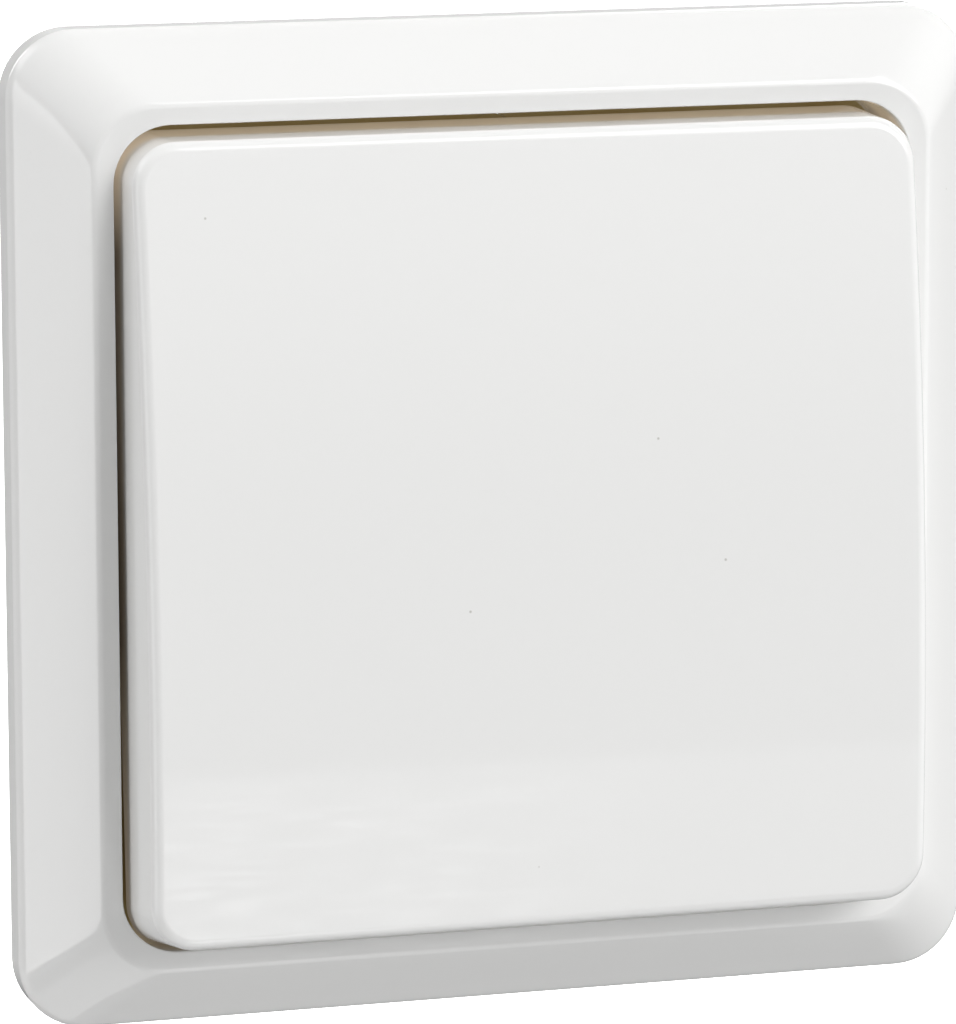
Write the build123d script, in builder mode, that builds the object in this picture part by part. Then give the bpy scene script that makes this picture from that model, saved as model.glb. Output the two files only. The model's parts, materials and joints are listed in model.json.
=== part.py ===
from build123d import *
import os
from math import cos, hypot, radians, sin, sqrt, tan

# A flush two-way light switch with one large rocker in a sloped square frame.
# X runs right, Y into the wall and Z up, in millimetres. The origin is the centre
# of the wall plane, so pieces in front of the wall have negative Y.

# Cover frame
frame_side = 80.0
frame_corner = 5.5
frame_rim = 1.7
rim_round = 1.1
crest_inset = 5.55
crest_height = 8.75
crest_corner = 5.0
crest_round = 0.7
ledge_width = 1.55
opening_corner = 4.6
frame_wall = 1.8
crest_wall = 3.1
skirt_wall = 1.4
frame_rib = 1.0
frame_rib_places = (-26.0, -9.0, 9.0, 26.0)
bead_length = 5.0
bead_height = 0.9
bead_level = 2.75
bead_reach = 0.5
same_level = 0.01

# Support plate
plate_wall = 1.0
plate_corner = 4.0
tab_gap = 0.2
tab_width = 8.0
tab_top = 4.1
tab_place = 18.0
tab_window_gap = 0.3
box_screw_circle = 60.0
box_screw_hole = 4.2
window_width = 36.0
window_tall = 24.0
window_corner = 3.0
plate_screw_place = 17.0

# Plate screws
screw_shank = 2.4
screw_length = 9.0
screw_head = 5.0
screw_head_flat = 3.0
screw_head_height = 1.6
screw_point = 1.0
screw_cross = 2.6
screw_cross_wall = 0.6
screw_cross_depth = 0.9

# Rocker
side_gap = 0.64
swing_gap = 1.15
rocker_corner = 3.8
rocker_draft = 1.3
rocker_edge_height = 5.4
face_height = 15.45
face_radius = 280.0
face_round = 0.95
face_wall = 2.0
rocker_wall = 1.8
rocker_rib = 1.2
rocker_rib_depth = 2.0
rocker_rib_place = 20.0
pivot_height = 4.0
rest_tilt = 3.5

# Rocker cradle
cradle_width = 34.0
cradle_tall = 25.0
cradle_corner = 2.5
cradle_wall = 2.0
cradle_level = 4.4
cheek_inner = 11.2
cheek_wall = 2.4
cheek_width = 9.0
trunnion_radius = 1.45
trunnion_rim = 0.95
tube_radius = 3.5
tube_end = 8.0
bore_radius = 2.05
bore_top = 3.0
hook_place = 8.5
hook_width = 4.2
hook_wall = 1.6
hook_line = 9.0
hook_catch = 0.6
hook_nose = 1.3
hook_gap = 0.2
rest_rib_line = 5.0
rest_rib_length = 30.0

# Plunger and its spring
plunger_radius = 1.95
plunger_top = 3.0
plunger_tip = 11.0
plunger_spigot = 0.95
plunger_spigot_height = 1.0
spring_wire = 0.45
spring_radius = 1.6
spring_turns = 4.0

# Housing and rear cover
flange_side = 46.0
flange_corner = 8.0
flange_wall = 2.5
body_side = 42.0
body_corner = 7.0
housing_depth = 20.4
front_wall = 2.0
rear_wall = 2.0
rear_edge = 0.5
collar_gap = 0.2
ear_gap = 0.3
ear_wall = 2.6
ear_rim = 1.4
running_gap = 0.05
tube_window_width = 8.2
tube_window_tall = 9.0
chamber_wall = 1.8
chamber_width = 10.4
cavity_width = 10.4
pilot_gap = 0.05
latch_width = 6.0
latch_wall = 1.2
latch_length = 6.6
latch_place = 11.5
latch_catch = 0.6
latch_nose = 1.2
latch_gap = 0.15

# Contact lever, bars and contacts
lever_depth = 7.9
lever_swing = 8.0
lever_wall = 0.8
lever_width = 6.0
lever_length = 18.6
lever_waist = 4.0
lever_notch = 3.4
lever_arm = 7.4
contact_radius = 1.6
contact_base = 0.2
contact_dome = 0.5
touch_gap = 0.06
fixed_contact_height = 1.0
bar_wall = 0.8
bar_width = 6.0
bar_bend = 1.6
bar_inner = 5.6
knife_wall = 1.0
knife_slope = 0.7
knife_gap = 0.05
lug_gap = 0.2
lug_wall = 1.2
lug_rise = 1.5
seat_width = 1.3
leg_face = 11.9
leg_gap = 0.3
post_side = 2.0

# Clamp springs, release buttons and wire ports
clamp_wall = 0.5
clamp_width = 9.6
clamp_bend = 2.25
clamp_angle = 32.0
clamp_tip_gap = 0.35
clamp_leg = 7.5
clamp_seat_gap = 0.1
port_side = 3.0
port_place = 3.5
funnel_flare = 0.5
button_wall = 1.6
button_start = 1.1
button_width = 2.0
button_proud = 1.6
button_flange = 0.9
button_flange_wall = 1.0
button_gap = 0.1
button_nose_gap = 0.2

# Worked out from the sizes above
crest_side = frame_side - 2 * crest_inset
opening_side = crest_side - 2 * ledge_width
slope_rise = crest_height - frame_rim
wall_run = frame_wall * hypot(crest_inset, slope_rise) / slope_rise
cavity_top = crest_height - crest_wall
skirt_side = opening_side + 2 * skirt_wall
skirt_corner = opening_corner + skirt_wall
plate_side = skirt_side + 2 * (tab_gap + plate_wall)
tab_line = plate_side / 2 - plate_wall / 2
rocker_width = opening_side - 2 * side_gap
rocker_tall = opening_side - 2 * swing_gap
rocker_low = rocker_edge_height - pivot_height
face_crown = face_height - pivot_height
cradle_top = cradle_level + cradle_wall
cheek_outer = cheek_inner + cheek_wall
ear_inner = cheek_outer + ear_gap
ear_outer = ear_inner + ear_wall
ear_radius = trunnion_radius + running_gap + ear_rim
cheek_radius = trunnion_radius + trunnion_rim
collar_width = window_width - 2 * collar_gap
collar_tall = window_tall - 2 * collar_gap
chamber_outer = body_side / 2 - chamber_wall
dome_radius = (contact_radius**2 + contact_dome**2) / (2 * contact_dome)
dome_centre = contact_base + contact_dome - dome_radius
swing = radians(lever_swing)
contact_depth = lever_depth + lever_arm * sin(swing) + dome_centre * cos(swing) + dome_radius + touch_gap
contact_place = lever_arm * cos(swing) - dome_centre * sin(swing)
bar_depth = contact_depth + fixed_contact_height
leg_inner = leg_face - bar_wall
cavity_tall = 2 * (leg_inner - bar_wall)
clamp_tip = leg_face + clamp_tip_gap
clamp_lean = radians(clamp_angle)
clamp_run = (chamber_outer - clamp_tip) / tan(clamp_lean)
clamp_apex = housing_depth - clamp_seat_gap - clamp_bend + clamp_bend / tan(clamp_lean / 2)
clamp_tip_depth = clamp_apex - clamp_run
port_line = leg_face + port_side / 2
terminals = {"common": 180, "upper": 90, "lower": -90}

# Planes: wall has X across, Z up and its normal out of the wall
wall = Plane(origin=(0, 0, 0), x_dir=(1, 0, 0), z_dir=(0, -1, 0))
side = Plane(origin=(0, 0, 0), x_dir=(0, 0, 1), z_dir=(1, 0, 0))


def leaning(depth, angle):
    """Front plane and side plane through an axis along X, with the top leaning in."""
    s = sin(radians(angle))
    c = cos(radians(angle))
    front = Plane(origin=(0, depth, 0), x_dir=(1, 0, 0), z_dir=(0, -c, s))
    flank = Plane(origin=(0, depth, 0), x_dir=(0, s, c), z_dir=(1, 0, 0))
    return front, flank


def turning(plane, x, y):
    """Plane of a turned profile at a point of a front plane, and its axis."""
    centre = plane.from_local_coords((x, y, 0))
    across = plane.x_dir
    return Plane(origin=centre, x_dir=across, z_dir=across.cross(plane.z_dir)), Axis(centre, plane.z_dir)


def facing(angle):
    """Front plane whose X axis points outwards at an angle in the wall plane."""
    return Plane(origin=(0, 0, 0), x_dir=(cos(radians(angle)), 0, sin(radians(angle))), z_dir=(0, -1, 0))


def section(angle):
    """Plane of a radial section: X outwards from the middle, Y out of the wall."""
    outwards = (cos(radians(angle)), 0, sin(radians(angle)))
    return Plane(origin=(0, 0, 0), x_dir=outwards, z_dir=(sin(radians(angle)), 0, -cos(radians(angle))))


def slope_half(height):
    """Half side of the frame's inner surface at a height on its slope."""
    return frame_side / 2 - wall_run - crest_inset * (height - frame_rim) / slope_rise


def save(piece, name):
    """Label a finished piece and write its file."""
    piece.part.label = name
    export_step(piece.part, f"parts/{name}.step")


key, key_side = leaning(-pivot_height, rest_tilt)
lever = leaning(lever_depth, -lever_swing)[0]
os.makedirs("parts", exist_ok=True)

# Cover frame: sloped ring with a flat ledge, hollow behind, with a skirt that stands on the plate
with BuildPart() as cover_frame:
    with BuildSketch(wall):
        RectangleRounded(frame_side, frame_side, frame_corner)
    extrude(amount=frame_rim)
    with BuildSketch(wall.offset(frame_rim)):
        RectangleRounded(frame_side, frame_side, frame_corner)
    with BuildSketch(wall.offset(crest_height)):
        RectangleRounded(crest_side, crest_side, crest_corner)
    loft(ruled=True)
    fillet(cover_frame.edges().group_by(Axis.Y)[0], crest_round)
    rim_low = -frame_rim - same_level
    rim_high = -frame_rim + same_level
    fillet(cover_frame.edges().filter_by_position(Axis.Y, rim_low, rim_high), rim_round)
    with BuildSketch(wall):
        RectangleRounded(opening_side, opening_side, opening_corner)
    extrude(amount=crest_height, mode=Mode.SUBTRACT)
    with BuildSketch(wall):
        RectangleRounded(2 * slope_half(frame_rim), 2 * slope_half(frame_rim), frame_corner - frame_wall)
    extrude(amount=frame_rim, mode=Mode.SUBTRACT)
    with BuildSketch(wall.offset(frame_rim)):
        RectangleRounded(2 * slope_half(frame_rim), 2 * slope_half(frame_rim), frame_corner - frame_wall)
    with BuildSketch(wall.offset(cavity_top)):
        RectangleRounded(2 * slope_half(cavity_top), 2 * slope_half(cavity_top), crest_corner)
    loft(ruled=True, mode=Mode.SUBTRACT)
    with BuildSketch(wall.offset(plate_wall)):
        RectangleRounded(skirt_side, skirt_side, skirt_corner)
        RectangleRounded(opening_side, opening_side, opening_corner, mode=Mode.SUBTRACT)
    extrude(amount=cavity_top - plate_wall)
    for angle in (0, 90, 180, 270):
        for place in frame_rib_places:
            with BuildSketch(section(angle).offset(place)):
                with BuildLine():
                    Polyline(
                        (skirt_side / 2 - skirt_wall / 2, frame_rim),
                        (slope_half(frame_rim) + frame_wall / 2, frame_rim),
                        (slope_half(cavity_top) + frame_wall / 2, cavity_top),
                        (skirt_side / 2 - skirt_wall / 2, cavity_top),
                        close=True,
                    )
                make_face()
            extrude(amount=frame_rib / 2, both=True)
    for angle in (0, 180):
        with BuildSketch(facing(angle).offset(bead_level - bead_height / 2)):
            with Locations((skirt_side / 2, tab_place), (skirt_side / 2, -tab_place)):
                Rectangle(2 * (tab_gap + bead_reach), bead_length)
        extrude(amount=bead_height)
save(cover_frame, "cover_frame")

# Rocker: drafted shell with a barrel face, ribs behind and four hooks
def barrel_block(width, tall, corner, low, crown, radius):
    """Drafted block with rounded corners under a face that curves up and down."""
    reach = tall / 2 + rocker_wall
    drop = radius - sqrt(radius**2 - reach**2)
    with BuildPart() as block:
        with BuildSketch(key.offset(low)):
            RectangleRounded(width, tall, corner)
        extrude(amount=crown - low, taper=rocker_draft)
        with BuildSketch(key_side):
            with BuildLine():
                ThreePointArc((-reach, crown - drop), (0, crown), (reach, crown - drop))
                Polyline((reach, crown - drop), (reach, low), (-reach, low), (-reach, crown - drop))
            make_face()
        extrude(amount=width, both=True, mode=Mode.INTERSECT)
    return block


shell = barrel_block(rocker_width, rocker_tall, rocker_corner, rocker_low, face_crown, face_radius)
hollow = barrel_block(
    rocker_width - 2 * rocker_wall,
    rocker_tall - 2 * rocker_wall,
    rocker_corner - rocker_wall,
    rocker_low,
    face_crown - face_wall,
    face_radius - face_wall,
)
under_face = face_crown - face_wall / 2

with BuildPart() as rocker:
    add(shell.part)
    face = rocker.faces().filter_by(GeomType.CYLINDER).sort_by(SortBy.AREA)[-1]
    fillet(face.edges(), face_round)
    add(hollow.part, mode=Mode.SUBTRACT)
    with BuildSketch(key.offset(face_crown - face_wall - rocker_rib_depth)):
        with Locations((0, rocker_rib_place), (0, -rocker_rib_place)):
            Rectangle(rocker_width - rocker_wall, rocker_rib)
        with Locations((rocker_rib_place, 0), (-rocker_rib_place, 0)):
            Rectangle(rocker_rib, rocker_tall - rocker_wall)
    extrude(amount=rocker_rib_depth - rocker_rib / 2)
    with BuildSketch(key.offset(cradle_top)):
        with Locations((0, rest_rib_line), (0, -rest_rib_line)):
            Rectangle(rest_rib_length, rocker_rib)
    extrude(amount=under_face - cradle_top)
    for x in (-hook_place, hook_place):
        for way in (-1, 1):
            with BuildSketch(key_side.offset(x)):
                with BuildLine():
                    Polyline(
                        (way * (hook_line - hook_wall / 2), under_face),
                        (way * (hook_line + hook_wall / 2), under_face),
                        (way * (hook_line + hook_wall / 2), cradle_level - hook_gap),
                        (way * (hook_line + hook_wall / 2 + hook_catch), cradle_level - hook_gap),
                        (way * (hook_line + hook_wall / 2), cradle_level - hook_gap - hook_nose),
                        (way * (hook_line - hook_wall / 2), cradle_level - hook_gap - hook_nose),
                        close=True,
                    )
                make_face()
            extrude(amount=hook_width / 2, both=True)
save(rocker, "rocker")

# Support plate: steel sheet with a window, box screw holes and four spring tabs
with BuildPart() as support_plate:
    with BuildSketch(wall):
        RectangleRounded(plate_side, plate_side, plate_corner)
        RectangleRounded(window_width, window_tall, window_corner, mode=Mode.SUBTRACT)
        with PolarLocations(box_screw_circle / 2, 4):
            Circle(box_screw_hole / 2, mode=Mode.SUBTRACT)
        with GridLocations(2 * plate_screw_place, 2 * plate_screw_place, 2, 2):
            Circle(screw_shank / 2 + pilot_gap, mode=Mode.SUBTRACT)
    extrude(amount=plate_wall)
    for angle in (0, 180):
        with BuildSketch(facing(angle).offset(plate_wall)):
            with Locations((tab_line, tab_place), (tab_line, -tab_place)):
                Rectangle(plate_wall, tab_width)
        extrude(amount=tab_top - plate_wall)
        with BuildSketch(facing(angle).offset(bead_level - bead_height / 2 - tab_window_gap)):
            with Locations((plate_side / 2, tab_place), (plate_side / 2, -tab_place)):
                Rectangle(4 * plate_wall, bead_length + 2 * tab_window_gap)
        extrude(amount=bead_height + 2 * tab_window_gap, mode=Mode.SUBTRACT)
save(support_plate, "support_plate")

# Four plate screws with cross recesses
with BuildPart() as plate_screws:
    for x in (-plate_screw_place, plate_screw_place):
        for z in (-plate_screw_place, plate_screw_place):
            profile, axis = turning(wall.offset(plate_wall), x, z)
            with BuildSketch(profile):
                with BuildLine():
                    Polyline(
                        (0, screw_head_height),
                        (screw_head_flat / 2, screw_head_height),
                        (screw_head / 2, screw_head_height / 2),
                        (screw_head / 2, 0),
                        (screw_shank / 2, 0),
                        (screw_shank / 2, screw_point - screw_length),
                        (screw_shank / 2 - screw_point / 2, -screw_length),
                        (0, -screw_length),
                        close=True,
                    )
                make_face()
            revolve(axis=axis)
    with BuildSketch(wall.offset(plate_wall + screw_head_height - screw_cross_depth)):
        with GridLocations(2 * plate_screw_place, 2 * plate_screw_place, 2, 2):
            Rectangle(screw_cross, screw_cross_wall)
            Rectangle(screw_cross_wall, screw_cross)
    extrude(amount=screw_cross_depth, mode=Mode.SUBTRACT)
save(plate_screws, "plate_screws")

# Housing: flange behind the plate, bearing ears in front, chambers open to the rear
with BuildPart() as housing:
    with BuildSketch(wall.offset(-flange_wall)):
        RectangleRounded(flange_side, flange_side, flange_corner)
    extrude(amount=flange_wall)
    with BuildSketch(wall.offset(-housing_depth)):
        RectangleRounded(body_side, body_side, body_corner)
    extrude(amount=housing_depth)
    with BuildSketch(wall):
        RectangleRounded(collar_width, collar_tall, window_corner - collar_gap)
    extrude(amount=plate_wall)
    for start in (ear_inner, -ear_outer):
        with BuildSketch(side.offset(start)):
            with Locations((0, pivot_height)):
                Circle(ear_radius)
            with Locations((0, pivot_height / 2)):
                Rectangle(2 * ear_radius, pivot_height)
            with Locations((0, pivot_height)):
                Circle(trunnion_radius + running_gap, mode=Mode.SUBTRACT)
        extrude(amount=ear_wall)
    with BuildSketch(wall.offset(-front_wall)):
        RectangleRounded(tube_window_width, tube_window_tall, window_corner)
    extrude(amount=front_wall + plate_wall, mode=Mode.SUBTRACT)
    with BuildSketch(wall.offset(-housing_depth)):
        Rectangle(cavity_width, cavity_tall)
    extrude(amount=housing_depth - front_wall, mode=Mode.SUBTRACT)
    for angle in terminals.values():
        with BuildSketch(facing(angle).offset(-housing_depth)):
            with Locations(((cavity_tall / 2 + chamber_outer) / 2, 0)):
                Rectangle(chamber_outer - cavity_tall / 2, chamber_width)
        extrude(amount=housing_depth - bar_depth, mode=Mode.SUBTRACT)
    with BuildSketch(wall.offset(-housing_depth)):
        with Locations(((seat_width + cavity_width / 2 - cavity_tall / 2) / 2, 0)):
            Rectangle(cavity_tall / 2 + cavity_width / 2 + seat_width, bar_width)
    extrude(amount=housing_depth - bar_depth, mode=Mode.SUBTRACT)
    with BuildSketch(wall.offset(-housing_depth)):
        with GridLocations(body_side, 2 * latch_place, 2, 2):
            Rectangle(2 * (latch_wall + latch_gap), latch_width + 2 * latch_gap)
    extrude(amount=latch_length + latch_gap, mode=Mode.SUBTRACT)
    with BuildSketch(wall.offset(latch_length - latch_nose - latch_gap - housing_depth)):
        with GridLocations(body_side, 2 * latch_place, 2, 2):
            Rectangle(2 * (latch_wall + latch_catch + latch_gap), latch_width + 2 * latch_gap)
    extrude(amount=latch_nose + 2 * latch_gap, mode=Mode.SUBTRACT)
    with BuildSketch(wall.offset(plate_wall - screw_length - pilot_gap)):
        with GridLocations(2 * plate_screw_place, 2 * plate_screw_place, 2, 2):
            Circle(screw_shank / 2 + pilot_gap)
    extrude(amount=screw_length, mode=Mode.SUBTRACT)
save(housing, "housing")

# Rear cover: wire ports with funnels, button slots, posts behind the bars and latches
with BuildPart() as rear_cover:
    with BuildSketch(wall.offset(-housing_depth - rear_wall)):
        RectangleRounded(body_side, body_side, body_corner)
    extrude(amount=rear_wall)
    chamfer(rear_cover.faces().sort_by(Axis.Y)[-1].edges(), rear_edge)
    for angle in terminals.values():
        outside = facing(angle).offset(-housing_depth - rear_wall)
        with BuildSketch(outside):
            with Locations((port_line, port_place), (port_line, -port_place)):
                Rectangle(port_side, port_side)
            with Locations((leg_face + button_start + button_wall / 2, 0)):
                Rectangle(button_wall + 2 * button_gap, button_width + 2 * button_gap)
        extrude(amount=rear_wall, mode=Mode.SUBTRACT)
        for place in (port_place, -port_place):
            with BuildSketch(outside):
                with Locations((port_line, place)):
                    Rectangle(port_side + 2 * funnel_flare, port_side + 2 * funnel_flare)
            with BuildSketch(outside.offset(funnel_flare)):
                with Locations((port_line, place)):
                    Rectangle(port_side, port_side)
            loft(ruled=True, mode=Mode.SUBTRACT)
        with BuildSketch(facing(angle).offset(-housing_depth)):
            with Locations(((bar_inner + leg_inner) / 2, 0)):
                Rectangle(post_side, post_side)
        extrude(amount=housing_depth - bar_depth - bar_wall)
    with BuildSketch(wall.offset(-housing_depth)):
        with GridLocations(body_side - latch_wall, 2 * latch_place, 2, 2):
            Rectangle(latch_wall, latch_width)
    extrude(amount=latch_length)
    for way in (-1, 1):
        for place in (latch_place, -latch_place):
            inner = body_side / 2 - latch_wall
            with BuildSketch(section(90 - 90 * way).offset(place)):
                with BuildLine():
                    Polyline(
                        (inner, latch_length - housing_depth),
                        (inner - latch_catch, latch_length - latch_nose - housing_depth),
                        (inner, latch_length - latch_nose - housing_depth),
                        close=True,
                    )
                make_face()
            extrude(amount=latch_width / 2, both=True)
save(rear_cover, "rear_cover")

# Rocker cradle: deck with hook slots, two cheeks on trunnions and a plunger tube
with BuildPart() as rocker_cradle:
    with BuildSketch(key.offset(cradle_level)):
        RectangleRounded(cradle_width, cradle_tall, cradle_corner)
        with GridLocations(2 * hook_place, 2 * hook_line, 2, 2):
            Rectangle(hook_width + 2 * hook_gap, hook_wall + 2 * hook_gap, mode=Mode.SUBTRACT)
    extrude(amount=cradle_wall)
    for start in (cheek_inner, -cheek_outer):
        with BuildSketch(key_side.offset(start)):
            with BuildLine():
                Line((-cheek_width / 2, cradle_level), (cheek_width / 2, cradle_level))
                Line((cheek_width / 2, cradle_level), (cheek_radius, 0))
                ThreePointArc((cheek_radius, 0), (0, -cheek_radius), (-cheek_radius, 0))
                Line((-cheek_radius, 0), (-cheek_width / 2, cradle_level))
            make_face()
        extrude(amount=cheek_wall)
    for start in (cheek_outer, -ear_outer - ear_gap):
        with BuildSketch(key_side.offset(start)):
            Circle(trunnion_radius)
        extrude(amount=ear_wall + 2 * ear_gap)
    with BuildSketch(key.offset(-tube_end)):
        Circle(tube_radius)
    extrude(amount=tube_end + cradle_level)
    with BuildSketch(key.offset(-tube_end)):
        Circle(bore_radius)
    extrude(amount=tube_end + bore_top, mode=Mode.SUBTRACT)
save(rocker_cradle, "rocker_cradle")

# Plunger: round-nosed pin with a spigot for its spring
plunger_profile, plunger_axis = turning(key, 0, 0)
with BuildPart() as plunger:
    with BuildSketch(plunger_profile):
        with BuildLine():
            nose = plunger_radius - plunger_tip
            Polyline(
                (0, nose - plunger_radius),
                (0, plunger_spigot_height - plunger_top),
                (plunger_spigot, plunger_spigot_height - plunger_top),
                (plunger_spigot, -plunger_top),
                (plunger_radius, -plunger_top),
                (plunger_radius, nose),
            )
            RadiusArc((plunger_radius, nose), (0, nose - plunger_radius), plunger_radius)
        make_face()
    revolve(axis=plunger_axis)
save(plunger, "plunger")

# Plunger spring: coil between the plunger and the blind end of its bore
with BuildPart() as plunger_spring:
    coil_height = bore_top + plunger_top - spring_wire
    coil_pitch = coil_height / spring_turns
    foot = key.offset(spring_wire / 2 - plunger_top).origin
    with BuildLine():
        coil = Helix(coil_pitch, coil_height, spring_radius, center=foot, direction=key.z_dir)
    with BuildSketch(Plane(origin=coil @ 0, z_dir=coil % 0)):
        RegularPolygon(spring_wire / 2, 6)
    sweep(path=coil)
save(plunger_spring, "plunger_spring")

# Contact lever: sheet blade with a waist, rocking on the common bar's knife edge
with BuildPart() as contact_lever:
    with BuildSketch(lever):
        RectangleRounded(lever_width, lever_length, contact_radius)
        with GridLocations(lever_width, 0, 2, 1):
            Rectangle(lever_width - lever_waist, lever_notch, mode=Mode.SUBTRACT)
    extrude(amount=lever_wall)
save(contact_lever, "contact_lever")

# Moving contacts: domed silver rivets behind both ends of the lever
for name, place in {"upper": lever_arm, "lower": -lever_arm}.items():
    profile, axis = turning(lever, 0, place)
    with BuildPart() as moving_contact:
        with BuildSketch(profile):
            with BuildLine():
                Polyline(
                    (0, -contact_base - contact_dome),
                    (0, 0),
                    (contact_radius, 0),
                    (contact_radius, -contact_base),
                )
                RadiusArc((contact_radius, -contact_base), (0, -contact_base - contact_dome), dome_radius)
            make_face()
        revolve(axis=axis)
    save(moving_contact, f"moving_contact_{name}")


def terminal_bar(angle, start):
    """Bent bar: a flat run against its ledge, then a leg along the wire's path."""
    with BuildPart() as bar:
        with BuildSketch(section(angle)):
            with BuildLine():
                FilletPolyline(
                    (start, -bar_depth),
                    (leg_face, -bar_depth),
                    (leg_face, leg_gap - housing_depth),
                    radius=bar_bend,
                )
                offset(amount=bar_wall, side=Side.RIGHT)
            make_face()
        extrude(amount=bar_width / 2 - lug_gap, both=True)
    return bar


# Common bar: crosses the cavity and carries the knife edge and its two lugs
common_run = terminal_bar(terminals["common"], -cavity_width / 2 - seat_width + lug_gap)
knife_top = -lever_depth - knife_gap
with BuildPart() as common_bar:
    add(common_run.part)
    with BuildSketch(side):
        with BuildLine():
            Polyline(
                (-knife_wall / 2, -bar_depth - bar_wall / 2),
                (-knife_wall / 2, knife_top - knife_slope),
                (0, knife_top),
                (knife_wall / 2, knife_top - knife_slope),
                (knife_wall / 2, -bar_depth - bar_wall / 2),
                close=True,
            )
        make_face()
    extrude(amount=lever_waist / 2 + lug_gap + lug_wall, both=True)
    for start in (lever_waist / 2 + lug_gap, -lever_waist / 2 - lug_gap - lug_wall):
        with BuildSketch(side.offset(start)):
            with Locations((0, (knife_top + lug_rise - bar_depth) / 2)):
                Rectangle(knife_wall, knife_top + lug_rise + bar_depth)
        extrude(amount=lug_wall)
save(common_bar, "common_bar")

# Traveller bars and the fixed contacts that stand on them
for name in ("upper", "lower"):
    save(terminal_bar(terminals[name], bar_inner), f"traveller_bar_{name}")
    with BuildPart() as fixed_contact:
        with BuildSketch(facing(terminals[name]).offset(-bar_depth)):
            with Locations((contact_place, 0)):
                Circle(contact_radius)
        extrude(amount=fixed_contact_height)
        chamfer(fixed_contact.faces().sort_by(Axis.Y)[0].edges(), contact_base)
    save(fixed_contact, f"fixed_contact_{name}")

# Clamp springs and release buttons, one of each at every terminal
for name, angle in terminals.items():
    with BuildPart() as clamp_spring:
        with BuildSketch(section(angle)):
            with BuildLine():
                FilletPolyline(
                    (clamp_tip, -clamp_tip_depth),
                    (chamber_outer, -clamp_apex),
                    (chamber_outer, clamp_leg - housing_depth),
                    radius=clamp_bend,
                )
                offset(amount=clamp_wall, side=Side.LEFT)
            make_face()
        extrude(amount=clamp_width / 2, both=True)
    save(clamp_spring, f"clamp_spring_{name}")

    near = leg_face + button_start
    far = near + button_wall
    lift = button_nose_gap / sin(clamp_lean)
    near_nose = clamp_tip_depth + (near - clamp_tip) / tan(clamp_lean) + lift
    far_nose = clamp_tip_depth + (far - clamp_tip) / tan(clamp_lean) + lift
    with BuildPart() as release_button:
        with BuildSketch(section(angle)):
            with BuildLine():
                Polyline(
                    (near, -housing_depth - rear_wall - button_proud),
                    (far, -housing_depth - rear_wall - button_proud),
                    (far, -far_nose),
                    (near, -near_nose),
                    close=True,
                )
            make_face()
        extrude(amount=button_width / 2, both=True)
        with BuildSketch(facing(angle).offset(button_gap - housing_depth)):
            with Locations(((near + far) / 2, 0)):
                Rectangle(button_wall, button_width + 2 * button_flange)
        extrude(amount=button_flange_wall)
    save(release_button, f"release_button_{name}")
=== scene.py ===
import json
from math import atan2, cos, radians, sin, sqrt, tan

import bmesh
import bpy
from mathutils import Matrix, Quaternion, Vector


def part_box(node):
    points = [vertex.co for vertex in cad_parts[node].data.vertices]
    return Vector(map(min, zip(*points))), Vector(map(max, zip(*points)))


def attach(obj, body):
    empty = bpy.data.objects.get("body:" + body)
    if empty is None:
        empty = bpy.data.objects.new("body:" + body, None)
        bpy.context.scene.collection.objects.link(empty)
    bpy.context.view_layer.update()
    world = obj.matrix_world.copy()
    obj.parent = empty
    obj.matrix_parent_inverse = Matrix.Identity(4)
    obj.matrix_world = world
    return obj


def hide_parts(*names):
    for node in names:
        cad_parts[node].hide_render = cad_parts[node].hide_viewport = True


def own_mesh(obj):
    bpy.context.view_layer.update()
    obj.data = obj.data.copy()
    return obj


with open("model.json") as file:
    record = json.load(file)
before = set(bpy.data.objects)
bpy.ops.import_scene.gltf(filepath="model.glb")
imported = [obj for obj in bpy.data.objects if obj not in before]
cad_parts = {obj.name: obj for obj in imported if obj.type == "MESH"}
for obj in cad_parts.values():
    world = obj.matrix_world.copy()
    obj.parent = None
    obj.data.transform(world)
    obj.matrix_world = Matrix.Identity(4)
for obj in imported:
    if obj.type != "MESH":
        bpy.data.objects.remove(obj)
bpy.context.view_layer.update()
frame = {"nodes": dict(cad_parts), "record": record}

# A flush light switch: white frame and rocker in front, insert with terminals behind.
# Metres. X runs right, Y into the wall and Z up, so the front has negative Y.
MM = 0.001

# Cover frame
FRAME_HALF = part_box("cover_frame")[1].x
FRAME_CORNER = 5.5 * MM
FRAME_RIM = 3.0 * MM
RIM_ROUND = 1.6 * MM
CREST_INSET = 5.55 * MM
CREST_HEIGHT = 8.75 * MM
CREST_CORNER = 5.0 * MM
CREST_ROUND = 0.7 * MM
SLOPE_BOW = 0.9 * MM
SLOPE_STEPS = 9
LEDGE_WIDTH = 1.55 * MM
LEDGE_ROUND = 0.12 * MM
OPENING_CORNER = 4.6 * MM
FRAME_WALL = 1.8 * MM
CREST_WALL = 3.1 * MM
SKIRT_WALL = 1.4 * MM
SKIRT_FOOT = 1.0 * MM
FOOT_LEAN = 0.02 * MM  # keeps the two loops of a flat foot apart in height
FRAME_RIB = 1.0 * MM
FRAME_RIB_PLACES = (-26.0 * MM, -9.0 * MM, 9.0 * MM, 26.0 * MM)
BEAD_SIZE = (1.4 * MM, 0.9 * MM, 5.0 * MM)
BEAD_LEVEL = 2.75 * MM
BEAD_PLACE = 18.0 * MM

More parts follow.
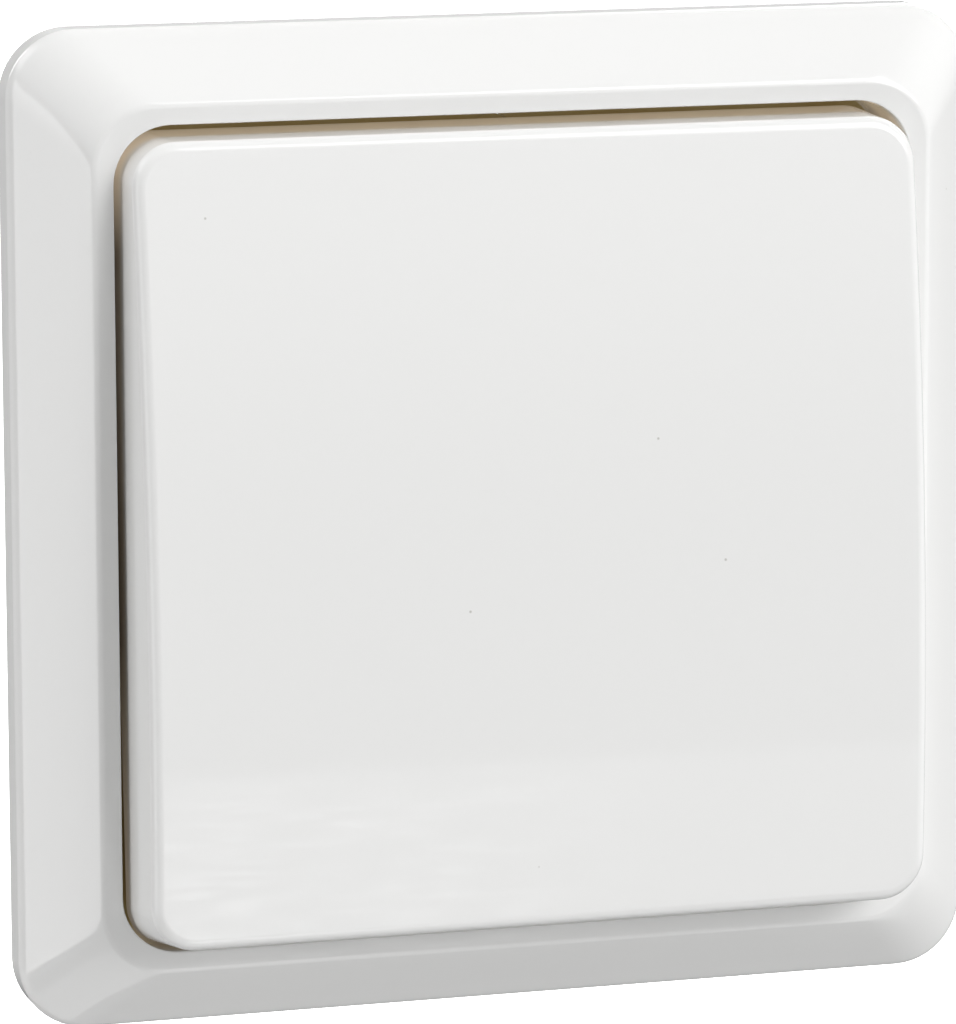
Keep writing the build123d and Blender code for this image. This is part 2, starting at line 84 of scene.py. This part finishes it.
# Rocker
SIDE_GAP = 0.64 * MM
SWING_GAP = 1.15 * MM
ROCKER_CORNER = 3.8 * MM
ROCKER_DRAFT = radians(0.7)
ROCKER_END_DRAFT = radians(3.4)
FOOT_CORNER = 3.2 * MM
ROCKER_SET = 0.3 * MM
ROCKER_LOW = 1.4 * MM
FACE_CROWN = 11.45 * MM
FACE_RADIUS = 280.0 * MM
FACE_ROUND = 0.95 * MM
FACE_WALL = 2.0 * MM
FACE_STRIPS = 24
ROCKER_WALL = 1.8 * MM
ROCKER_RIB = 1.2 * MM
ROCKER_RIB_DEPTH = 2.0 * MM
ROCKER_RIB_PLACE = 20.0 * MM
CRADLE_LEVEL = 4.4 * MM
CRADLE_TOP = 6.4 * MM
REST_RIB_LINE = 5.0 * MM
REST_RIB_LENGTH = 30.0 * MM
HOOK_PLACE = 8.5 * MM
HOOK_LINE = 9.0 * MM
HOOK_WIDTH = 4.2 * MM
HOOK_WALL = 1.6 * MM
HOOK_CATCH = 0.6 * MM
HOOK_NOSE = 1.3 * MM
HOOK_GAP = 0.2 * MM
PIVOT_HEIGHT = 4.0 * MM
REST_TILT = radians(3.5)

# Plugs in the plate's box screw holes, added to keep light from behind out of the slit
PLUG_CIRCLE = 30.0 * MM
PLUG_OUTER = 2.08 * MM
PLUG_BACK = 0.6 * MM
PLUG_FRONT = 0.9 * MM

# Springs: where the clamps stand
CLAMP_WAYS = {"common": Vector((-1, 0, 0)), "upper": Vector((0, 0, 1)), "lower": Vector((0, 0, -1))}

# Meshes: steps of their rounds, the turns that stay sharp, and the distance that merges points
CORNER_STEPS = 12
FILLET_STEPS = 6
PLUG_STEPS = 32
SHARP_TURN = radians(25)
ROUND_SHARP_TURN = radians(30)
MERGE_DISTANCE = 0.001 * MM

# White plastic: dust specks, and the painted warm shade, painted brown shade and painted glow in the slit
# around the rocker
SPECK_SPACING = 5.4 * MM
SPECK_EDGE = (0.012, 0.026)
SLIT_REACH = 33.0 * MM
SLIT_WARM_SHADE = (-8.5 * MM, -7.2 * MM)
SLIT_BROWN_SHADE = (-8.6 * MM, -6.0 * MM)
UPPER_GLOW_PLACE = (23.0 * MM, 31.0 * MM)
UPPER_GLOW = (0.012, 0.14)
LOWER_GLOW_PLACE = (-8.0 * MM, -28.0 * MM)
LOWER_GLOW = 0.07

# Camera, fitted to the photograph
CAMERA_AZIMUTH = radians(-16.863)
CAMERA_ELEVATION = radians(9.729)
CAMERA_ROLL = radians(-0.196)
CAMERA_DISTANCE = 517.16 * MM
CAMERA_TARGET = Vector((-0.865 * MM, 0.0, -0.412 * MM))
CAMERA_LENS = 224.66
CAMERA_SENSOR = 36.0
CAMERA_REACH = 100.0

# Studio: a dim dome and the lights on it, in degrees. Each light has its azimuth from straight
# ahead, elevation, half width, half height, soft edge and level.
DOME_LOW = 0.18
DOME_HIGH = 0.42
DOME_CHANGE = (5, 30)
LIGHTS = {
    "key_softbox": (42, 38, 18, 24, 5, 5.15),
    "right_wall": (62, 12, 40, 32, 10, 0.66),
    "front_haze": (17, 14, 9, 10, 8, 0.65),
    "side_panel": (-79, -2.5, 12, 22.5, 1, 2.35),
    "left_softbox": (-105, 44, 30, 14, 6, 2.7),
    "left_table": (-105, -34, 30, 14, 6, 0.8),
    "table": (0, -71, 95, 25, 6, 1.02),
    "table_edge": (17, -24, 22, 11.6, 0.2, 0.5),
    "table_gleam": (17, -44, 6, 8, 2, 2.4),
    "back_softbox": (144, 23, 12, 13, 4, 15.0),
    "back_fill": (-152, 23, 6, 13, 4, 5.0),
    "back_strip": (164, 8, 12, 6, 3, 0.25),
}
RIPPLE_LIGHT = (15, -17.0, 3.2, 4.2, 1.2)
RIPPLE_LEVEL = 1.4
RIPPLE_TURN = radians(2)
RIPPLE_SCALE = (1.7, 5.0, 1.0)
RIPPLE_EDGE = (0.48, 0.66)
FLOOR_LEVEL = -1.2
FLOOR_RADIUS = 3.0
WALL_HEIGHT = 4.0


def linear(code):
    """Linear colour of an sRGB hex value."""
    shades = [int(code[i:i + 2], 16) / 255 for i in (1, 3, 5)]
    return [s / 12.92 if s <= 0.04045 else ((s + 0.055) / 1.055) ** 2.4 for s in shades] + [1.0]


def add(tree, kind, inputs=None, **settings):
    """Add one shader node; inputs are values or output sockets, by name or number."""
    made = tree.nodes.new("ShaderNode" + kind)
    for name, value in settings.items():
        setattr(made, name, value)
    for name, value in (inputs or {}).items():
        if isinstance(value, bpy.types.NodeSocket):
            tree.links.new(value, made.inputs[name])
        else:
            made.inputs[name].default_value = value
    return made


def finish_named(name, inputs):
    """A material with its shader, and the Object coordinates that its patterns read."""
    material = bpy.data.materials.new(name)
    material.use_nodes = True
    tree = material.node_tree
    shader = tree.nodes["Principled BSDF"]
    for socket, value in inputs.items():
        shader.inputs[socket].default_value = value
    return material, tree, shader, add(tree, "TexCoord").outputs["Object"]


def white_thermoplastic():
    """White thermoplastic moulded in a polished tool: bright and glossy, with a faint waviness in
    its reflections and a few specks of dust. Deep in the slit it has painted warm shade, which turns
    to painted brown shade where the slit hides the walls at both ends of the travel, and a painted warm glow
    stands in for light that comes through them, most at the top."""
    material, tree, shader, place = finish_named(
        "white_thermoplastic", {"IOR": 1.53, "Roughness": 0.02, "Emission Color": linear("#FFEFDA")}
    )
    where = add(tree, "SeparateXYZ", {"Vector": place})
    across = add(tree, "Math", {0: where.outputs["X"]}, operation="ABSOLUTE")
    along = add(tree, "Math", {0: where.outputs["Z"]}, operation="ABSOLUTE")
    outer = add(tree, "Math", {0: across.outputs[0], 1: along.outputs[0]}, operation="MAXIMUM")
    within = add(tree, "Math", {0: outer.outputs[0], 1: SLIT_REACH}, operation="LESS_THAN")
    # painted warm shade: a warmer, darker colour deep in the slit
    depth = add(tree, "MapRange", {"Value": where.outputs["Y"], "From Min": SLIT_WARM_SHADE[0],
                                   "From Max": SLIT_WARM_SHADE[1], "To Max": within.outputs[0]})
    # painted brown shade deep in the slit, where the walls are hidden at both ends of the travel
    swing = add(tree, "Math", {0: where.outputs["Z"], 1: 0.0}, operation="MAXIMUM")
    slit_brown_shade = add(tree, "Math", {0: swing.outputs[0], 1: -2 * REST_TILT, 2: where.outputs["Y"]},
                 operation="MULTIPLY_ADD")
    slit_brown_shade = add(tree, "MapRange", {"Value": slit_brown_shade.outputs[0], "From Min": SLIT_BROWN_SHADE[0],
                                    "From Max": SLIT_BROWN_SHADE[1], "To Max": within.outputs[0]})
    dots = add(tree, "TexVoronoi", {"Vector": place, "Scale": 1 / SPECK_SPACING})
    speck = add(tree, "MapRange", {"Value": dots.outputs["Distance"], "From Min": SPECK_EDGE[0],
                                   "From Max": SPECK_EDGE[1], "To Min": 1.0, "To Max": 0.0})
    shade = add(tree, "Mix", {"Factor": speck.outputs["Result"], "A": linear("#E9E9E8"),
                              "B": linear("#C4C3BF")}, data_type="RGBA")
    # mix in the painted warm shade and the painted brown shade of the slit
    shade = add(tree, "Mix", {"Factor": depth.outputs["Result"], "A": shade.outputs["Result"],
                              "B": linear("#D8D0C2")}, data_type="RGBA")
    shade = add(tree, "Mix", {"Factor": slit_brown_shade.outputs["Result"], "A": shade.outputs["Result"],
                              "B": linear("#8F7C5C")}, data_type="RGBA")
    tree.links.new(shade.outputs["Result"], shader.inputs["Base Color"])
    # painted warm glow in the slit, standing in for light through the thin walls, most at the top
    upper = add(tree, "MapRange", {"Value": where.outputs["Z"], "From Min": UPPER_GLOW_PLACE[0],
                                   "From Max": UPPER_GLOW_PLACE[1], "To Min": UPPER_GLOW[0],
                                   "To Max": UPPER_GLOW[1]})
    lower = add(tree, "MapRange", {"Value": where.outputs["Z"], "From Min": LOWER_GLOW_PLACE[0],
                                   "From Max": LOWER_GLOW_PLACE[1], "To Max": LOWER_GLOW})
    glow = add(tree, "Math", {0: upper.outputs["Result"], 1: lower.outputs["Result"]}, operation="ADD")
    glow = add(tree, "Math", {0: glow.outputs[0], 1: depth.outputs["Result"]}, operation="MULTIPLY")
    tree.links.new(glow.outputs[0], shader.inputs["Emission Strength"])
    peel = add(tree, "TexNoise", {"Vector": place, "Scale": 1 / (3.0 * MM), "Detail": 2.0})
    bump = add(tree, "Bump", {"Height": peel.outputs["Fac"], "Strength": 0.05, "Distance": 0.02 * MM})
    tree.links.new(bump.outputs["Normal"], shader.inputs["Normal"])
    return material


def moulded_plastic(name, colour, dark, roughness):
    """Moulded plastic with a fine spark-eroded grain, drawn coarse enough to show, slightly uneven
    colour and small rounds where two faces meet."""
    material, tree, shader, place = finish_named(name, {"IOR": 1.5})
    cloud = add(tree, "TexNoise", {"Vector": place, "Scale": 1 / (6.0 * MM), "Detail": 3.0})
    shade = add(tree, "Mix", {"Factor": cloud.outputs["Fac"], "A": linear(colour), "B": linear(dark)},
                data_type="RGBA")
    tree.links.new(shade.outputs["Result"], shader.inputs["Base Color"])
    gloss = add(tree, "MapRange", {"Value": cloud.outputs["Fac"], "To Min": roughness - 0.08,
                                   "To Max": roughness + 0.08})
    tree.links.new(gloss.outputs["Result"], shader.inputs["Roughness"])
    rounds = add(tree, "Bevel", {"Radius": 0.25 * MM})
    grain = add(tree, "TexNoise", {"Vector": place, "Scale": 1 / (0.4 * MM), "Detail": 2.0})
    bump = add(tree, "Bump", {"Height": grain.outputs["Fac"], "Normal": rounds.outputs["Normal"],
                              "Strength": 0.3, "Distance": 0.06 * MM})
    tree.links.new(bump.outputs["Normal"], shader.inputs["Normal"])
    return material


def sheet_metal(name, colour, dark, roughness, metallic=1.0):
    """Plated or rolled metal with a cloudy tone, fine rolling marks and small rounds at its edges. A
    passivated surface has a thin film that takes some of the metal's shine."""
    material, tree, shader, place = finish_named(name, {"Metallic": metallic})
    cloud = add(tree, "TexNoise", {"Vector": place, "Scale": 1 / (5.0 * MM), "Detail": 4.0})
    shade = add(tree, "Mix", {"Factor": cloud.outputs["Fac"], "A": linear(colour), "B": linear(dark)},
                data_type="RGBA")
    tree.links.new(shade.outputs["Result"], shader.inputs["Base Color"])
    stretch = add(tree, "Mapping", {"Vector": place, "Scale": (0.15, 1.0, 1.0)})
    lines = add(tree, "TexNoise", {"Vector": stretch.outputs["Vector"], "Scale": 1 / (0.3 * MM),
                                   "Detail": 2.0})
    gloss = add(tree, "MapRange", {"Value": lines.outputs["Fac"], "To Min": roughness - 0.1,
                                   "To Max": roughness + 0.1})
    tree.links.new(gloss.outputs["Result"], shader.inputs["Roughness"])
    rounds = add(tree, "Bevel", {"Radius": 0.12 * MM})
    bump = add(tree, "Bump", {"Height": lines.outputs["Fac"], "Normal": rounds.outputs["Normal"],
                              "Strength": 0.05, "Distance": 0.02 * MM})
    tree.links.new(bump.outputs["Normal"], shader.inputs["Normal"])
    return material


def white_paper():
    """White studio paper, plain and matt, lit through so that it stays white behind the switch."""
    shown = {"Roughness": 0.9, "Base Color": linear("#FAFAFA"), "Emission Color": linear("#FFFFFF"),
             "Emission Strength": 1.0}
    material = finish_named("white_paper", shown)[0]
    material.cycles.emission_sampling = "NONE"
    return material


finishes = {
    "white_plastic": white_thermoplastic(),
    # Sheet steel and screws, zinc plated and passivated: warm yellow, cloudy and half dull
    "plate_steel": sheet_metal("yellow_passivated_zinc", "#D3C79A", "#BFA768", 0.42, 0.65),
    "screw_steel": sheet_metal("passivated_zinc_screw", "#D3C79A", "#BFA768", 0.38, 0.75),
    # Pressed thermoset, pale grey and matt
    "housing_plastic": moulded_plastic("grey_thermoset", "#C6C8C8", "#BDBFBF", 0.5),
    # Glass-filled polyamide, dark and matt, so that ports and buttons stand out
    "cover_plastic": moulded_plastic("dark_polyamide", "#55585C", "#4B4E52", 0.55),
    # Natural polyamide, ivory with a low sheen
    "cradle_plastic": moulded_plastic("ivory_polyamide", "#DEDCD2", "#D5D3C8", 0.45),
    # Natural acetal, pale and smooth where it slides
    "plunger_plastic": moulded_plastic("acetal", "#EEEBE0", "#E6E2D5", 0.35),
    # Rolled strip and drawn wire, bare steel with a cool shine
    "spring_steel": sheet_metal("spring_steel", "#B9BBBD", "#9C9EA1", 0.3),
    # Rolled copper alloy, punched and bent, warm and bright
    "contact_copper": sheet_metal("rolled_copper_alloy", "#D99A6C", "#BF7F53", 0.3),
    # Silver alloy contact tips, pale and bright
    "contact_silver": sheet_metal("silver_alloy", "#E4E3DE", "#CFCEC9", 0.25),
    # Dyed polyamide, orange with a low sheen
    "button_plastic": moulded_plastic("orange_polyamide", "#D9733A", "#CE672F", 0.45),
}


def rounded_loop(bm, half_x, half_z, corner, height):
    """Edges of a rectangle with round corners, at a height in front of the wall."""
    known = set(bm.edges)
    place = (
        Matrix.Translation((0, -height, 0))
        @ Matrix.Rotation(radians(90), 4, "X")
        @ Matrix.Diagonal((half_x, half_z, 1, 1))
    )
    sheet = bmesh.ops.create_grid(bm, x_segments=1, y_segments=1, size=1.0, matrix=place)
    bmesh.ops.bevel(
        bm, geom=sheet["verts"], offset=corner, offset_type="OFFSET", affect="VERTICES",
        segments=CORNER_STEPS, profile=0.5, material=-1,
    )
    loop = [edge for edge in bm.edges if edge not in known]
    inside = {face for edge in loop for face in edge.link_faces}
    bmesh.ops.delete(bm, geom=list(inside), context="FACES_ONLY")
    return loop


def round_edges(bm, edges, offset):
    """Round a run of edges, by the distance from each edge to where its rounding starts."""
    bmesh.ops.bevel(
        bm, geom=edges, offset=offset, offset_type="OFFSET", affect="EDGES",
        segments=FILLET_STEPS, profile=0.5, material=-1,
    )


def block(bm, low, high):
    """Box between two corners."""
    low, high = Vector(low), Vector(high)
    place = Matrix.Translation((low + high) / 2) @ Matrix.Diagonal((*(high - low), 1))
    bmesh.ops.create_cube(bm, size=1.0, matrix=place)


def prism(bm, outline, along):
    """Flat outline carried along a vector."""
    face = bm.faces.new([bm.verts.new(point) for point in outline])
    carried = bmesh.ops.extrude_face_region(bm, geom=[face], use_keep_orig=True)
    points = [item for item in carried["geom"] if isinstance(item, bmesh.types.BMVert)]
    bmesh.ops.translate(bm, vec=along, verts=points)


def piece_from(bm, name, body, slot, node=None):
    """A finished piece that takes its slot's finish, and may stand for a node."""
    bmesh.ops.recalc_face_normals(bm, faces=bm.faces)
    mesh = bpy.data.meshes.new(name)
    bm.to_mesh(mesh)
    bm.free()
    mesh.polygons.foreach_set("use_smooth", [True] * len(mesh.polygons))
    piece = bpy.data.objects.new(name, mesh)
    bpy.context.scene.collection.objects.link(piece)
    piece.data.materials.append(finishes[slot])
    soften = piece.modifiers.new("even_normals", "WEIGHTED_NORMAL")
    soften.keep_sharp = True
    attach(piece, body)
    if node:
        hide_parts(node)
    return piece


def mark_sharp(bm, angle):
    """Mark the edges that turn by more than an angle, so that flat faces stay flat."""
    for edge in bm.edges:
        edge.smooth = edge.calc_face_angle(0.0) < angle


def frame_back(bm, skirt_half, inner_half, cavity_half, cavity_top):
    """Ribs between the skirt and the slope, and the catch beads on the skirt."""
    near = skirt_half - SKIRT_WALL / 2
    for quarter in range(4):
        turn = Matrix.Rotation(quarter * radians(90), 4, "Y")
        for place in FRAME_RIB_PLACES:
            start = place - FRAME_RIB / 2
            outline = [
                (near, -FRAME_RIM, start),
                (inner_half + FRAME_WALL / 2, -FRAME_RIM, start),
                (cavity_half + FRAME_WALL / 2, -cavity_top, start),
                (near, -cavity_top, start),
            ]
            prism(bm, [turn @ Vector(point) for point in outline], turn @ Vector((0, 0, FRAME_RIB)))
    reach = Vector(BEAD_SIZE) / 2
    for x in (-skirt_half, skirt_half):
        for z in (-BEAD_PLACE, BEAD_PLACE):
            centre = Vector((x, -BEAD_LEVEL, z))
            block(bm, centre - reach, centre + reach)


def cover_frame():
    """Sloped ring with a rounded crest, a flat ledge to the opening, a skirt, ribs and beads."""
    crest_half = FRAME_HALF - CREST_INSET
    opening_half = crest_half - LEDGE_WIDTH
    skirt_half = opening_half + SKIRT_WALL
    slope_rise = CREST_HEIGHT - FRAME_RIM
    slope = atan2(slope_rise, CREST_INSET)
    wall_run = FRAME_WALL / sin(slope)
    cavity_top = CREST_HEIGHT - CREST_WALL
    inner_half = FRAME_HALF - wall_run
    cavity_half = inner_half - (cavity_top - FRAME_RIM) / tan(slope)
    sections = {
        "foot": (FRAME_HALF, FRAME_CORNER, 0.0),
        "rim": (FRAME_HALF, FRAME_CORNER, FRAME_RIM),
        "crest": (crest_half, CREST_CORNER, CREST_HEIGHT),
        "opening": (opening_half, OPENING_CORNER, CREST_HEIGHT),
        "skirt_foot_inner": (opening_half, OPENING_CORNER, SKIRT_FOOT),
        "skirt_foot_outer": (skirt_half, OPENING_CORNER + SKIRT_WALL, SKIRT_FOOT + FOOT_LEAN),
        "skirt_top": (skirt_half, OPENING_CORNER + SKIRT_WALL, cavity_top - FOOT_LEAN),
        "cavity_top": (cavity_half, CREST_CORNER, cavity_top),
        "inner_rim": (inner_half, FRAME_CORNER - FRAME_WALL, FRAME_RIM),
        "inner_foot": (inner_half, FRAME_CORNER - FRAME_WALL, FOOT_LEAN),
    }
    bm = bmesh.new()
    loops = {}
    for name, (half, corner, height) in sections.items():
        loops[name] = rounded_loop(bm, half, half, corner, height)
    order = list(loops.values())
    for near, far in zip(order, order[1:] + order[:1]):
        bmesh.ops.bridge_loops(bm, edges=near + far)
    rim_points = {vert for edge in loops["rim"] for vert in edge.verts}
    crest_points = {vert for edge in loops["crest"] for vert in edge.verts}
    flanks = [e for v in rim_points for e in v.link_edges if e.other_vert(v) in crest_points]
    split = bmesh.ops.subdivide_edges(bm, edges=flanks, cuts=SLOPE_STEPS)
    for vert in split["geom_inner"]:
        if isinstance(vert, bmesh.types.BMVert):
            part = (-vert.co.y - FRAME_RIM) / slope_rise
            vert.co.y -= SLOPE_BOW * part**2 * (1 - part)
    round_edges(bm, loops["rim"], RIM_ROUND * tan((radians(90) - slope) / 2))
    round_edges(bm, loops["crest"], CREST_ROUND * tan(slope / 2))
    round_edges(bm, loops["opening"], LEDGE_ROUND)
    frame_back(bm, skirt_half, inner_half, cavity_half, cavity_top)
    mark_sharp(bm, SHARP_TURN)
    return piece_from(bm, "cover_frame_shell", "base", "white_plastic", "cover_frame")


def barrel_drop(z, radius):
    """How far the barrel face lies below its crown."""
    return radius - sqrt(radius**2 - z**2)


def rocker_back(bm, half_x, half_z):
    """Ribs under the face, two more that rest on the cradle, and four hooks."""
    under = FACE_CROWN - FACE_WALL
    rib_low = under - ROCKER_RIB_DEPTH
    rib_high = under - ROCKER_RIB / 2
    half = ROCKER_RIB / 2
    across = half_x - ROCKER_WALL / 2
    along = half_z - ROCKER_WALL / 2
    for place in (-ROCKER_RIB_PLACE, ROCKER_RIB_PLACE):
        block(bm, (-across, -rib_high, place - half), (across, -rib_low, place + half))
        block(bm, (place - half, -rib_high, -along), (place + half, -rib_low, along))
    high = FACE_CROWN - FACE_WALL / 2
    for place in (-REST_RIB_LINE, REST_RIB_LINE):
        low_corner = (-REST_RIB_LENGTH / 2, -high, place - half)
        block(bm, low_corner, (REST_RIB_LENGTH / 2, -CRADLE_TOP, place + half))
    catch = CRADLE_LEVEL - HOOK_GAP
    for x in (-HOOK_PLACE, HOOK_PLACE):
        for way in (-1, 1):
            near = way * (HOOK_LINE - HOOK_WALL / 2)
            far = way * (HOOK_LINE + HOOK_WALL / 2)
            outline = [(near, high), (far, high), (far, catch), (far + way * HOOK_CATCH, catch),
                       (far, catch - HOOK_NOSE), (near, catch - HOOK_NOSE)]
            start = x - HOOK_WIDTH / 2
            prism(bm, [(start, -height, z) for z, height in outline], (HOOK_WIDTH, 0, 0))


def rocker():
    """Drafted shell under a barrel face with round edges, ribs and hooks behind."""
    opening_half = FRAME_HALF - CREST_INSET - LEDGE_WIDTH
    half_x = opening_half - SIDE_GAP
    half_z = opening_half - SWING_GAP
    lean = (FACE_CROWN - ROCKER_LOW) * tan(ROCKER_DRAFT)
    under = FACE_CROWN - FACE_WALL
    inner_lean = (under - ROCKER_LOW) * tan(ROCKER_DRAFT)
    inner_corner = ROCKER_CORNER - ROCKER_WALL
    inner_level = ROCKER_LOW + FOOT_LEAN
    spread = (FACE_CROWN - ROCKER_LOW) * tan(ROCKER_END_DRAFT) - lean
    bm = bmesh.new()
    foot = rounded_loop(bm, half_x, half_z + spread, FOOT_CORNER, ROCKER_LOW)
    brow = rounded_loop(bm, half_x - lean, half_z - lean, ROCKER_CORNER - lean, FACE_CROWN)
    inner_foot = rounded_loop(bm, half_x - ROCKER_WALL, half_z - ROCKER_WALL, inner_corner, inner_level)
    inner_set = ROCKER_WALL + inner_lean
    inner_top = rounded_loop(bm, half_x - inner_set, half_z - inner_set, inner_corner - inner_lean, under)
    for near, far in ((brow, foot), (foot, inner_foot), (inner_foot, inner_top)):
        bmesh.ops.bridge_loops(bm, edges=near + far)
    for rim in (brow, inner_top):
        bmesh.ops.contextual_create(bm, geom=rim)
    round_edges(bm, brow, FACE_ROUND * tan((radians(90) - ROCKER_DRAFT) / 2))
    for step in range(1, FACE_STRIPS):
        level = half_z * (2 * step / FACE_STRIPS - 1)
        bmesh.ops.bisect_plane(
            bm, geom=bm.verts[:] + bm.edges[:] + bm.faces[:], plane_co=(0, 0, level), plane_no=(0, 0, 1)
        )
    for vert in bm.verts:
        height = -vert.co.y
        if height > FACE_CROWN - 1.5 * FACE_ROUND:
            vert.co.y += barrel_drop(vert.co.z, FACE_RADIUS)
        elif height > (ROCKER_LOW + under) / 2:
            vert.co.y += barrel_drop(vert.co.z, FACE_RADIUS - FACE_WALL)
    bmesh.ops.translate(bm, vec=(0, 0, -ROCKER_SET), verts=bm.verts)
    rocker_back(bm, half_x, half_z)
    mark_sharp(bm, SHARP_TURN)
    tilt = Matrix.Translation((0, -PIVOT_HEIGHT, 0)) @ Matrix.Rotation(-REST_TILT, 4, "X")
    bmesh.ops.transform(bm, matrix=tilt, verts=bm.verts)
    return piece_from(bm, "rocker_shell", "rocker", "white_plastic", "rocker")


def hole_plugs():
    """Four flat plugs that close the box screw holes of the plate, so that the slit stays dark."""
    bm = bmesh.new()
    for quarter in range(4):
        place = (
            Matrix.Rotation(quarter * radians(90), 4, "Y")
            @ Matrix.Translation((PLUG_CIRCLE, -(PLUG_FRONT + PLUG_BACK) / 2, 0))
            @ Matrix.Rotation(radians(90), 4, "X")
        )
        bmesh.ops.create_cone(
            bm, cap_ends=True, segments=PLUG_STEPS, radius1=PLUG_OUTER, radius2=PLUG_OUTER,
            depth=PLUG_FRONT - PLUG_BACK, matrix=place,
        )
    mark_sharp(bm, ROUND_SHARP_TURN)
    return piece_from(bm, "hole_plugs", "base", "plate_steel")


def sprung(node, body):
    """A spring's own shape, merged, as a piece that stands for its node."""
    bm = bmesh.new()
    bm.from_mesh(frame["nodes"][node].data)
    bmesh.ops.remove_doubles(bm, verts=bm.verts, dist=MERGE_DISTANCE)
    mark_sharp(bm, ROUND_SHARP_TURN)
    piece = piece_from(bm, node + "_sprung", body, "spring_steel", node)
    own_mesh(piece)


def springs():
    """The plunger's coil and the three clamps."""
    sprung("plunger_spring", "rocker")
    for name, way in CLAMP_WAYS.items():
        sprung("clamp_spring_" + name, "base")


def dress_nodes():
    """Give every node its slot's finish."""
    for part in frame["record"]["subparts"]:
        node = frame["nodes"][part["node"]]
        node.data.materials.clear()
        node.data.materials.append(finishes[part["material_slot"]])


def studio():
    """Dim dome with soft lights around the switch, and one light that is broken into ripples."""
    world = bpy.data.worlds.new("studio_dome")
    bpy.context.scene.world = world
    world.use_nodes = True
    tree = world.node_tree
    way = add(tree, "SeparateXYZ", {"Vector": add(tree, "TexCoord").outputs["Generated"]})
    ahead = add(tree, "Math", {0: way.outputs["Y"], 1: -1.0}, operation="MULTIPLY")
    turn = add(tree, "Math", {0: way.outputs["X"], 1: ahead.outputs[0]}, operation="ARCTAN2")
    rise = add(tree, "Math", {0: way.outputs["Z"]}, operation="ARCSINE")
    azimuth = add(tree, "Math", {0: turn.outputs[0]}, operation="DEGREES").outputs[0]
    elevation = add(tree, "Math", {0: rise.outputs[0]}, operation="DEGREES").outputs[0]
    dome = add(tree, "MapRange", {"Value": elevation, "From Min": DOME_CHANGE[0], "From Max": DOME_CHANGE[1],
                                  "To Min": DOME_LOW, "To Max": DOME_HIGH}, interpolation_type="SMOOTHSTEP")
    bend = add(tree, "CombineXYZ", {"X": azimuth, "Y": elevation})
    bend = add(tree, "Mapping", {"Vector": bend.outputs[0], "Rotation": (0, 0, RIPPLE_TURN),
                                 "Scale": RIPPLE_SCALE})
    folds = add(tree, "TexNoise", {"Vector": bend.outputs["Vector"], "Scale": 1.0, "Detail": 2.0})
    folds = add(tree, "MapRange", {"Value": folds.outputs["Fac"], "From Min": RIPPLE_EDGE[0],
                                   "From Max": RIPPLE_EDGE[1], "To Max": RIPPLE_LEVEL},
                interpolation_type="SMOOTHSTEP")
    total = dome.outputs["Result"]
    lights = [*LIGHTS.values(), (*RIPPLE_LIGHT, folds.outputs["Result"])]
    for turned, raised, wide, tall, soft, level in lights:
        for angle, centre, half in ((azimuth, turned, wide), (elevation, raised, tall)):
            off = add(tree, "Math", {0: angle, 1: centre}, operation="SUBTRACT")
            off = add(tree, "Math", {0: off.outputs[0]}, operation="ABSOLUTE")
            edge = add(tree, "MapRange", {"Value": off.outputs[0], "From Min": half - soft,
                                          "From Max": half + soft, "To Min": level, "To Max": 0.0},
                       interpolation_type="SMOOTHSTEP")
            level = edge.outputs["Result"]
        total = add(tree, "Math", {0: total, 1: level}, operation="ADD").outputs[0]
    tree.links.new(total, tree.nodes["Background"].inputs["Strength"])
    tree.nodes["Background"].inputs["Color"].default_value = linear("#FFFFFF")


def backdrop():
    """Floor and round wall of white paper that only the camera sees."""
    bm = bmesh.new()
    bmesh.ops.create_circle(
        bm, cap_ends=True, segments=64, radius=FLOOR_RADIUS, matrix=Matrix.Translation((0, 0, FLOOR_LEVEL))
    )
    rim = [edge for edge in bm.edges if edge.is_boundary]
    raised = bmesh.ops.extrude_edge_only(bm, edges=rim)
    top = [item for item in raised["geom"] if isinstance(item, bmesh.types.BMVert)]
    bmesh.ops.translate(bm, vec=(0, 0, WALL_HEIGHT), verts=top)
    mesh = bpy.data.meshes.new("floor")
    bm.to_mesh(mesh)
    bm.free()
    floor = bpy.data.objects.new("floor", mesh)
    bpy.context.scene.collection.objects.link(floor)
    floor.data.materials.append(white_paper())
    floor.visible_diffuse = False
    floor.visible_glossy = False
    floor.visible_shadow = False


def camera():
    """Long lens at the photograph's place, looking at the switch from the left and above."""
    data = bpy.data.cameras.new("camera")
    data.lens = CAMERA_LENS
    data.sensor_width = CAMERA_SENSOR
    data.sensor_fit = "AUTO"
    data.clip_end = CAMERA_REACH
    back = Vector((
        sin(CAMERA_AZIMUTH) * cos(CAMERA_ELEVATION),
        -cos(CAMERA_AZIMUTH) * cos(CAMERA_ELEVATION),
        sin(CAMERA_ELEVATION),
    ))
    eye = bpy.data.objects.new("camera", data)
    eye.location = CAMERA_TARGET + back * CAMERA_DISTANCE
    eye.rotation_mode = "QUATERNION"
    eye.rotation_quaternion = (-back).to_track_quat("-Z", "Y") @ Quaternion((0, 0, 1), CAMERA_ROLL)
    bpy.context.scene.collection.objects.link(eye)
    bpy.context.scene.camera = eye


dress_nodes()
cover_frame()
rocker()
hole_plugs()
springs()
studio()
backdrop()
camera()
bpy.context.scene.view_settings.view_transform = "Standard"
